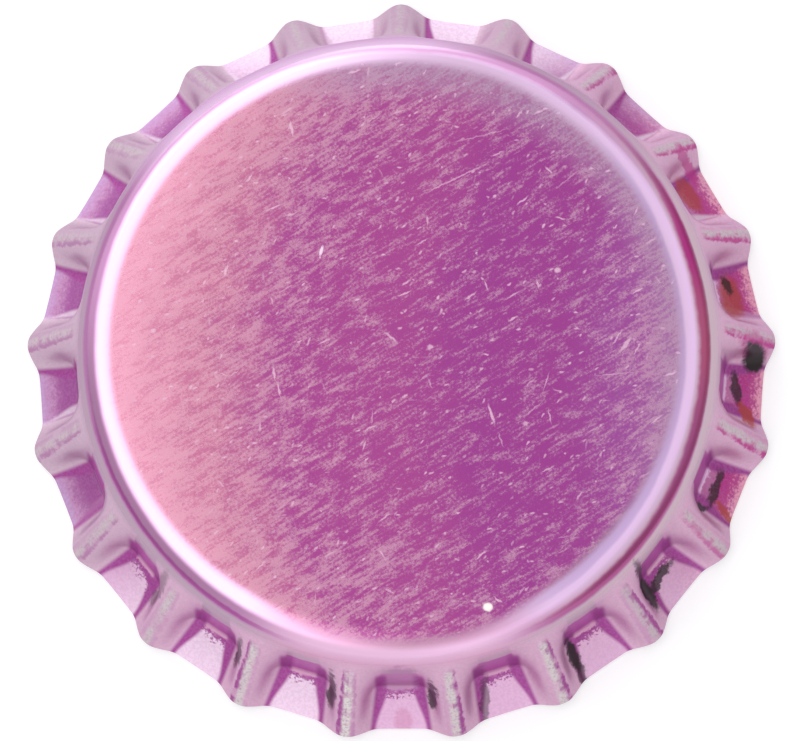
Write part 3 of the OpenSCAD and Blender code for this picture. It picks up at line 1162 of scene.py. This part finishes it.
@dataclass(frozen=True)
class Flutes:
    """The flutes: flanks painted pale as a reflection, a painted line of shade at their feet, and a
    scuffed crest with painted dark reflections along its edges.

    A coat fades by `share` of a flute's height, by how far `down` it lies, and by the
    distance `far` or `off` from the flute's middle in millimetres.
    """

    # the flanks are painted pale as a reflection, greyer towards the upper left
    flank: tuple[Part, Part] = (("share", 0.005, 0.05), ("down", 0.0, 0.14))
    grey: Side = Side(145, 0.0, 0.6)
    # the painted shade line at a flute's feet narrows as it runs down, and is a painted highlight on
    # a lit side
    feet_narrow: Part = ("down", 0.7, 1.0, 0.0, 0.3)
    feet_in: Part = ("far", 0.92, 1.12)
    feet_out: Fade = (1.62, 1.42)
    feet_down: Part = ("down", 0.22, 0.4)
    # of two sides of the cap, the first is for a flute's clockwise half
    lit: tuple[Side, Side] = (Side(150, 0.5, 0.8), Side(55, 0.55, 0.85))
    bright: Part = ("far", 1.14, 1.3, 0.0, 0.8)
    # the crest's scuffed strip and the painted lines of dark reflection beside it, which wander
    crest: tuple[Part, Part] = (("down", 0.12, 0.22), ("share", 0.5, 0.7))
    wander: Texture = (3.0, 4.0, 0.75)
    wander_by: float = 0.3
    line_off: Fade = (0.33, 0.25)
    line_wide: Fade = (0.2, 1.0, 0.0, 0.1)
    line_broken: Texture = (1.1, 3.0, 0.6)
    line_breaks: Fade = (0.36, 0.5, 0.25, 1.0)
    # where round the cap the lines are strong and where weaker, and their least, by luck
    strong: tuple[Side, Side] = (Side(15, 0.5, 0.8), Side(-66, 0.8, 0.93))
    strong_low: Side = Side(253, 0.93, 0.98)
    weak: Side = Side(185, 0.6, 0.9)
    weak_force: float = 0.6
    least_force: Pair = (0.05, 0.3)
    red: Side = Side(10, 0.5, 0.8)
    strip_off: Fade = (0.26, 0.08)
    strip_patches: Texture = (1.4, 3.0, 0.6)
    strip_breaks: Fade = (0.34, 0.54, 0.3, 1.0)
    # the strip is scuffed palest on the lowest side, and on some flutes by luck
    bare: Side = Side(270, 0.7, 0.95)
    bare_low: Pair = (0.4, 1.0)
    bare_luck: Pair = (0.6, 1.0)
    bare_grit: Part = ("grit", 0.28, 0.5, 0.0)
    dust: tuple[Part, Part] = (("grit", 0.6, 0.4, 0.0, 0.2), ("down", 0.0, 0.15))

    def sides(self, sheet: Sheet, ground: Wire) -> Node:
        """Lays the flanks and the painted shade and highlight lines at their feet over a ground.

        Args:
            sheet: The place on the sheet.
            ground: The colour between the flutes.

        Returns:
            The colour.
        """
        add = sheet.add
        pale = sheet.coat(Tint.FLANK, Tint.GREY_FLANK, self.grey)
        colour = sheet.coat(ground, pale, *self.flank)
        past = add(PLUS, sheet.far, sheet.strength(self.feet_narrow))
        feet = sheet.strength(self.feet_in, (past, *self.feet_out), self.feet_down)
        lit = add(MIX, add(ABOVE, sheet.aside, 0.0), *map(sheet.strength, self.lit))
        colour = sheet.coat(colour, Tint.DEEP, feet, add(MINUS, 1.0, lit))
        return sheet.coat(colour, Tint.EDGE, self.bright, lit, feet)

    def paint(self, sheet: Sheet, ground: Wire) -> tuple[Node, Node]:
        """Lays the flutes over a ground.

        Args:
            sheet: The place on the sheet.
            ground: The colour between them.

        Returns:
            Colour, and the share that is scuffed.
        """
        add = sheet.add
        wander = add(MINUS, add(NOISE, sheet.mm, *self.wander), MEAN)
        off = add(SIZE, add(TIMES_PLUS, wander, self.wander_by, sheet.aside))
        luck = add("ShaderNodeTexWhiteNoise", None, ("W", sheet.flute), noise_dimensions="1D")
        luck = add("ShaderNodeSeparateColor", luck.outputs["Color"]).outputs
        crest = sheet.strength(*self.crest)
        narrow = add(MINUS, off, add(RANGE, sheet.down, *self.line_wide))
        clockwise, other = map(sheet.strength, self.strong)
        clockwise = add(HIGHER, clockwise, sheet.strength(self.strong_low))
        other = add(HIGHER, other, sheet.strength(self.weak, self.weak_force))
        force = add(MIX, add(ABOVE, sheet.aside, 0.0), clockwise, other)
        force = add(HIGHER, force, add(RANGE, luck["Red"], 0.0, 1.0, *self.least_force))
        broken = (add(NOISE, sheet.mm, *self.line_broken), *self.line_breaks)
        # the crest's lines are painted dark reflections, redder at the right
        crest_reflection_tone = sheet.coat(Tint.DEEP, Tint.DEEP_RED, self.red)
        colour = self.sides(sheet, ground)
        colour = sheet.coat(colour, crest_reflection_tone, (narrow, *self.line_off), crest, force, broken)

        patchy = (add(NOISE, sheet.mm, *self.strip_patches), *self.strip_breaks)
        strip = sheet.strength((off, *self.strip_off), crest, patchy)
        worn = add(TIMES, add(RANGE, sheet.strength(self.bare), 0.0, 1.0, *self.bare_low),
                   add(RANGE, luck["Blue"], 0.0, 1.0, *self.bare_luck))
        scuff = sheet.coat(Tint.GREY, Tint.SCUFF, (*self.bare_grit, worn))
        colour = sheet.coat(colour, scuff, strip)
        return sheet.coat(colour, Tint.VIOLET, *self.dust), strip


@dataclass(frozen=True)
class LacqueredTinplate:
    """Tinplate under transparent pink lacquer, drawn in a press.

    The sheet is a mirror of bright tin, which the lacquer tints twice, so it shines in
    colour. Its colour is painted deep in the walls between the flutes, as shade, and pale
    over the shoulder and along the flutes, as highlights and reflections of the room's light.
    """

    name: str = "lacquered_tinplate"
    # rubbing takes the gloss away, and some of the mirror with it
    rough: Fade = (0.0, 1.0, 0.17, 0.5)
    metal: Fade = (0.0, 1.0, 1.0, 0.6)
    coat_weight: float = 0.25
    coat_rough: float = 0.12
    strip_wear: float = 0.85
    skirt_wear: Part = ("down", 0.0, 0.12, 0.0, 0.8)
    # patches of painted shade, near black, and of painted warm reflection in the corners between the
    # flutes
    painted_light_edge: Fade = (1.25, 0.7)
    painted_light_jitter: float = 0.55
    painted_light_patches: tuple[Mark, ...] = tuple(
        Mark(*row)
        for row in (
            (12.3, 8.75, -60, 1.7, 0.5, 0.75, Tint.DEEP_RED),
            (12.35, 7.45, -55, 1.7, 0.8, 0.75, Tint.WARM_REFLECTION),
            (14.12, 3.0, -75, 2.0, 0.95, 0.8, Tint.WARM_REFLECTION),
            (13.95, 3.5, -70, 0.9, 0.42, 0.85, Tint.CORNER_SHADE),
            (15.1, 0.7, 10, 1.2, 1.1, 0.6, Tint.DEEP_RED),
            (15.1, 0.3, 60, 1.1, 0.9, 1.0, Tint.CORNER_SHADE),
            (14.75, -2.1, -60, 1.3, 0.5, 0.85, Tint.WARM_REFLECTION),
            (14.3, -0.95, -84, 1.5, 0.42, 0.85, Tint.CORNER_SHADE),
            (13.85, -6.35, -50, 1.4, 0.35, 0.8, Tint.WARM_REFLECTION),
            (13.4, -5.3, 72, 1.7, 0.4, 0.85, Tint.CORNER_SHADE),
            (12.8, -6.2, 0, 0.5, 0.4, 0.9, Tint.CORNER_SHADE),
            (11.0, -9.2, 58, 1.9, 0.38, 0.88, Tint.CORNER_SHADE),
            (10.45, -9.8, -58, 1.7, 0.5, 0.95, Tint.CORNER_SHADE),
            (7.3, -12.5, -66, 1.3, 0.5, 0.95, Tint.CORNER_SHADE),
            (7.7, -13.2, -78, 1.3, 0.35, 0.7, Tint.CORNER_SHADE),
            (3.55, -14.3, 88, 1.9, 0.35, 0.6, Tint.CORNER_SHADE),
            (1.35, -14.35, -72, 0.9, 0.4, 0.85, Tint.CORNER_SHADE),
            (-2.9, -14.15, 88, 1.2, 0.42, 0.85, Tint.CORNER_SHADE),
            (-6.85, -12.6, 78, 0.9, 0.4, 0.8, Tint.CORNER_SHADE),
            (-10.2, -9.9, 45, 1.2, 0.6, 0.5, Tint.CORNER_SHADE),
            (0.1, -15.2, 80, 1.0, 0.8, 0.35, Tint.ROSE_DEEP),
            (0.05, -13.8, 0, 1.4, 0.5, 0.7, Tint.VIOLET),
        )
    )

    def skirt(self, sheet: Sheet) -> tuple[Node, Node]:
        """Shoulder, walls, flares and flutes, with painted shade and reflections in the corners.

        Args:
            sheet: The place on the sheet.

        Returns:
            Colour, and wear from 0 to 1.
        """
        add = sheet.add
        colour = Walls().paint(sheet, Shoulder().paint(sheet))
        colour, strip = Flutes().paint(sheet, Flares().paint(sheet, colour))
        at = sheet.shaken(add(NOISE, sheet.mm, *sheet.frays), self.painted_light_jitter)
        for painted_light_patch in self.painted_light_patches:
            colour = sheet.coat(colour, painted_light_patch.tint, painted_light_patch.ink(add, at, self.painted_light_edge))
        wear = sheet.strength(strip, self.strip_wear)
        return colour, add(HIGHER, wear, sheet.strength(self.skirt_wear))

    def material(self) -> bpy.types.Material:
        """Builds the finish.

        Returns:
            The material.
        """
        made = bpy.data.materials.new(self.name)
        add = blank(made)
        sheet, panel = Sheet(add), Panel()
        top, worn = panel.paint(sheet)
        skirt, rubbed = self.skirt(sheet)
        within = panel.within(sheet)
        wear = add(MIX, within, rubbed, worn)
        shader = add(
            PRINCIPLED, ("Base Color", sheet.coat(skirt, top, within)),
            ("Metallic", add(RANGE, wear, *self.metal)), ("Roughness", add(RANGE, wear, *self.rough)),
            ("Specular Tint", Tint.GLOSS), ("Coat Weight", self.coat_weight),
            ("Coat Roughness", self.coat_rough),
        )
        add("ShaderNodeOutputMaterial", shader)
        return made


@dataclass(frozen=True)
class ClearTinplate:
    """Rolled tinplate under thin clear lacquer, as the inside of a cap is.

    The rolls leave fine parallel lines, which smear its highlights, and the lacquer gives
    the tin a warm cast.
    """

    name: str = "clear_lacquered_tinplate"
    # rolling lines are a few hundredths of a millimetre apart and drawn wider, to show
    line_gap: float = 0.12
    line_stretch: float = 0.08
    lines: Texture = (1.0, 2.0, 0.6)
    clouds: Texture = (0.3, 2.0, 0.5)
    warm: Fade = (0.8, 1.2)
    rough: Fade = (0.3, 0.7, 0.22, 0.34)

    def material(self) -> bpy.types.Material:
        """Builds the finish.

        Returns:
            The material.
        """
        made = bpy.data.materials.new(self.name)
        add = blank(made)
        mm, across = millimetres(add), 1 / self.line_gap
        rolled = add(ALL_TIMES, mm, (self.line_stretch, across, across))
        lines = add(NOISE, rolled, *self.lines)
        mottled = add(PLUS, lines, add(NOISE, mm, *self.clouds))
        colour = add(LAYER, add(EASE, mottled, *self.warm), Tint.TIN, Tint.BRIGHT_TIN)
        rough = add(RANGE, lines, *self.rough)
        shader = add(PRINCIPLED, ("Base Color", colour), ("Metallic", 1.0), ("Roughness", rough))
        add("ShaderNodeOutputMaterial", shader)
        return made


@dataclass(frozen=True)
class SealingCompound:
    """Soft sealing compound, stamped hot in the cap: milky and satin, with faint flow marks."""

    name: str = "sealing_compound"
    # the stamped skin's orange peel, in millimetres
    peel: float = 0.35
    peel_h: float = 0.02
    peel_force: float = 0.25
    flow: Texture = (0.25, 3.0, 0.55)
    milky: Fade = (0.3, 0.7)
    rough: Fade = (0.3, 0.7, 0.38, 0.5)

    def material(self) -> bpy.types.Material:
        """Builds the finish.

        Returns:
            The material.
        """
        made = bpy.data.materials.new(self.name)
        add = blank(made)
        mm = millimetres(add)
        flow = add(NOISE, mm, *self.flow)
        peel = add(NOISE, mm, 1 / self.peel)
        colour = add(LAYER, add(EASE, flow, *self.milky), Tint.COMPOUND, Tint.PALE_COMPOUND)
        rough = add(RANGE, flow, *self.rough)
        skin = add("ShaderNodeBump", ("Strength", self.peel_force),
                   ("Distance", self.peel_h * MM), ("Height", peel))
        shader = add(PRINCIPLED, ("Base Color", colour), ("Roughness", rough), ("Normal", skin))
        add("ShaderNodeOutputMaterial", shader)
        return made


# ---------------------------------------------------------------- the pieces


@dataclass
class Shell:
    """The pressed shell: panel, shoulder and fluted skirt, one sheet of tinplate."""

    sizes: ShellSizes = field(default_factory=ShellSizes)
    columns_per_flute: int = 36
    spread: float = 1.25
    # edges that turn more than this many degrees stay sharp
    sharp: float = 45.0

    def build(self) -> bpy.types.Object:
        """Makes and dresses the shell, and puts it in the frame.

        Returns:
            The shell's object.
        """
        s = self.sizes
        piece = TurnedPiece(
            "cap_shell", s.rings(), s.flutes, s.flutes * self.columns_per_flute,
            s.flute_w, s.hollow_share, self.spread,
        ).make(LacqueredTinplate().material())
        piece.data.materials.append(ClearTinplate().material())
        sheet = piece.modifiers.new("Sheet", "SOLIDIFY")
        sheet.thickness = s.sheet_t * MM
        sheet.offset = -1
        sheet.material_offset = 1
        walled = plain_mesh(piece, "cap_shell")
        walled.set_sharp_from_angle(angle=math.radians(self.sharp))
        piece.modifiers.clear()
        piece.data = walled
        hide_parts("shell")
        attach(piece, "root")
        LOG.info("shell: %d faces", len(piece.data.polygons))
        return piece


@dataclass(frozen=True)
class LinerSizes:
    """Sizes of the sealing liner in millimetres, as the solid has them."""

    web_t: float = 0.22
    ring_w: float = 2.3
    ring_h: float = 1.05
    ring_edge_r: float = 0.35
    ring_gap: float = 0.06
    lip_d: float = 18.6
    lip_r: float = 0.7
    lip_h: float = 0.55
    # the compound runs into its corners in small hollows
    corner_r: float = 0.15
    arc_steps: int = 8
    top_steps: int = 4
    web_steps: int = 6

    def rings(self, shell: ShellSizes) -> list[Ring]:
        """The liner's rings: over its top, down its outside, and in along its underside.

        Args:
            shell: The shell that the liner is stamped into.

        Returns:
            The rings, from the middle of the top to the middle of the underside.
        """
        top = shell.cap_h - shell.sheet_t
        under, bottom = top - self.web_t, top - self.ring_h
        room = shell.centre
        room_r = shell.shoulder_r - shell.sheet_t - self.ring_gap
        edge, corner, lip = self.ring_edge_r, self.corner_r, self.lip_r
        rise = bottom + edge - room[1]
        outer = (room[0] + math.sqrt((room_r - edge) ** 2 - rise**2), bottom + edge)
        seat = math.degrees(math.atan2(outer[0] - room[0], rise))
        inner = (room[0] + room_r - self.ring_w + edge, bottom + edge)
        hollow = (inner[0] - edge - corner, under - corner)
        bead = (self.lip_d / 2, top - self.lip_h + lip)
        drop = bead[1] - under + corner
        run = math.sqrt((lip + corner) ** 2 - drop**2)
        tilt = math.degrees(math.atan2(run, -drop))
        beside = [(bead[0] + way * run, under - corner) for way in (1, -1)]
        arcs = (
            (room, room_r, 0, seat), (outer, edge, seat, 180), (inner, edge, 180, 270),
            (hollow, -corner, 270, 180), (beside[0], -corner, 180, tilt),
            (bead, lip, tilt, 360 - tilt), (beside[1], -corner, 360 - tilt, 180),
        )
        points = [(room[0] * i / self.top_steps, top) for i in range(self.top_steps)]
        for centre, radius, start, end in arcs:
            slopes = [mix(start, end, i / self.arc_steps) for i in range(self.arc_steps + 1)]
            points += [on_arc(centre, radius, slope) for slope in slopes]
        last, steps = points[-1][0], self.web_steps
        points += [(last * (steps - 1 - i) / steps, under) for i in range(steps)]
        return [Ring(p, p) for p in points]


@dataclass
class Liner:
    """The sealing liner: a thin web, an inner lip and the ring that seals the bottle."""

    shell: ShellSizes
    sizes: LinerSizes = field(default_factory=LinerSizes)
    columns: int = 252

    def build(self) -> bpy.types.Object:
        """Makes and dresses the liner, and puts it in the frame.

        Returns:
            The liner's object.
        """
        rings, s = self.sizes.rings(self.shell), self.shell
        piece = TurnedPiece("cap_liner", rings, s.flutes, self.columns, s.flute_w).make(
            SealingCompound().material()
        )
        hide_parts("liner")
        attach(piece, "root")
        LOG.info("liner: %d faces", len(piece.data.polygons))
        return piece


# ---------------------------------------------------------------- studio


@dataclass(frozen=True)
class Lobe:
    """One light or dark patch of the room.

    It lies towards a side, between two elevations in degrees that `rises` fades to and
    from, over the level of a pole that leans by `lean` degrees towards `lean_to`.
    """

    side: Side
    rises: tuple[float, float, float, float]
    gain: tuple[float, float, float]
    lean: float = 0.0
    lean_to: float = 0.0

    def light(self, add: Add, ray: Wire, level: Wire) -> Node:
        """The patch's light from a direction.

        Args:
            add: Adds a node to the tree.
            ray: The direction.
            level: The direction laid level.

        Returns:
            The colour that the patch adds.
        """
        low_out, low_in, high_in, high_out = (
            math.sin(math.radians(rise)) for rise in self.rises
        )
        slope, to = math.radians(self.lean), math.radians(self.lean_to)
        pole = (math.sin(slope) * math.cos(to), math.sin(slope) * math.sin(to), math.cos(slope))
        high = add(TOWARDS, ray, pole)
        under = add(EASE, high, high_in, high_out, 1.0, 0.0)
        belt = add(TIMES, add(EASE, high, low_out, low_in), under)
        return add(SCALED, self.gain, add(TIMES, self.side.nearness(add, level), belt))


@dataclass
class Studio:
    """A pale floor, soft light from the left and the camera."""

    # where the camera stands, in degrees and metres, and the size and middle of its view
    tilt: float = 11.1
    turn: float = 1.6
    distance: float = 0.35
    px_per_mm: float = 23.34
    width_px: int = 794
    height_px: int = 741
    middle_px: Pair = (401.4, 372.0)
    clip_start: float = 0.01
    floor_w: float = 4.0
    # how strongly the floor glows, and how much more it does for the camera
    glow: float = 0.25
    glow_seen: float = 0.2
    # the room's even light, and the least that its dark patch leaves of it
    ceiling: float = 0.745
    darkest: float = 0.02
    # a soft light at the left, a fill at the back, a cool light at the right with a dark
    # patch under it, and a fill at the front
    lobes: tuple[Lobe, ...] = (
        Lobe(Side(176, -0.1, 0.4), (3, 20, 52, 64), (0.88, 0.88, 0.92), 26, 30),
        Lobe(Side(110, 0.35, 0.8), (-40, -20, 20, 40), (0.6, 0.6, 0.62)),
        Lobe(Side(0, -0.15, 0.5), (-10, 0, 9, 44), (0.2, 0.2, 0.26), 55.8, 180),
        Lobe(Side(0, 0.3, 0.8), (-40, -20, 12, 24), (-0.2, -0.3, -0.27)),
        Lobe(Side(-90, 0.6, 0.9), (-30, -10, 24, 58), (0.27, 0.27, 0.28)),
    )

    def camera(self) -> None:
        """Sets the camera up."""
        data = bpy.data.cameras.new("camera")
        tilt, turn = math.radians(self.tilt), math.radians(self.turn)
        flat = math.cos(tilt)
        back = Vector((math.sin(turn) * flat, -math.sin(tilt), math.cos(turn) * flat))
        side = Vector((0, 1, 0)).cross(back).normalized()
        over = back.cross(side)
        right_px = self.width_px / 2 - self.middle_px[0]
        down_px = self.height_px / 2 - self.middle_px[1]
        aim = (side * right_px - over * down_px) * (MM / self.px_per_mm)
        camera = bpy.data.objects.new("camera", data)
        camera.location = aim + back * self.distance
        camera.rotation_euler = Matrix((side, over, back)).transposed().to_euler()
        data.lens = data.sensor_width * self.px_per_mm * self.distance / MM / self.width_px
        data.clip_start = self.clip_start
        bpy.context.scene.collection.objects.link(camera)
        bpy.context.scene.camera = camera

    def floor(self) -> None:
        """Lays a matte floor, which glows for the camera and in what the cap mirrors."""
        bpy.ops.mesh.primitive_grid_add(size=self.floor_w, x_subdivisions=2, y_subdivisions=2)
        ground = bpy.context.object
        ground.name = "floor"
        made = bpy.data.materials.new("pale_floor")
        add = blank(made)
        seen = add("ShaderNodeLightPath").outputs
        strength = add(TIMES_PLUS, seen["Is Camera Ray"], self.glow_seen, self.glow)
        direct = add(HIGHER, seen["Is Camera Ray"], seen["Is Glossy Ray"])
        direct = add(HIGHER, direct, seen["Is Transmission Ray"])
        none = add("ShaderNodeEmission", (0, 0, 0, 1), 0.0)
        glow = add("ShaderNodeEmission", (1, 1, 1, 1), strength)
        extra = add("ShaderNodeMixShader", direct, none, glow)
        both = add("ShaderNodeAddShader", add("ShaderNodeBsdfDiffuse", Tint.FLOOR), extra)
        add("ShaderNodeOutputMaterial", both)
        ground.data.materials.append(made)

    def world(self) -> None:
        """Paints the light of the room by direction, and white behind all for the camera."""
        world = bpy.data.worlds.new("studio")
        bpy.context.scene.world = world
        add = blank(world)
        ray = add("ShaderNodeTexCoord").outputs["Generated"]
        level = add(UNIT, add(ALL_TIMES, ray, (1, 1, 0)))
        light: Wire = (self.ceiling,) * 3
        for lobe in self.lobes:
            light = add(ALL_PLUS, light, lobe.light(add, ray, level))
        soft = add("ShaderNodeBackground", add(ALL_HIGHER, light, (self.darkest,) * 3), 1.0)
        white = add("ShaderNodeBackground", (1, 1, 1, 1), 1.0)
        seen = add("ShaderNodeLightPath").outputs["Is Camera Ray"]
        add("ShaderNodeOutputWorld", add("ShaderNodeMixShader", seen, soft, white))

    def build(self) -> None:
        """Makes the camera, the floor and the light of the room."""
        self.camera()
        self.floor()
        self.world()


def main() -> None:
    """Builds the cap and its studio."""
    logging.basicConfig(level=logging.INFO, format="%(message)s")
    bpy.context.scene.view_settings.view_transform = "Standard"
    Studio().build()
    shell = Shell()
    shell.build()
    Liner(shell.sizes).build()


if __name__ == "__main__":
    main()
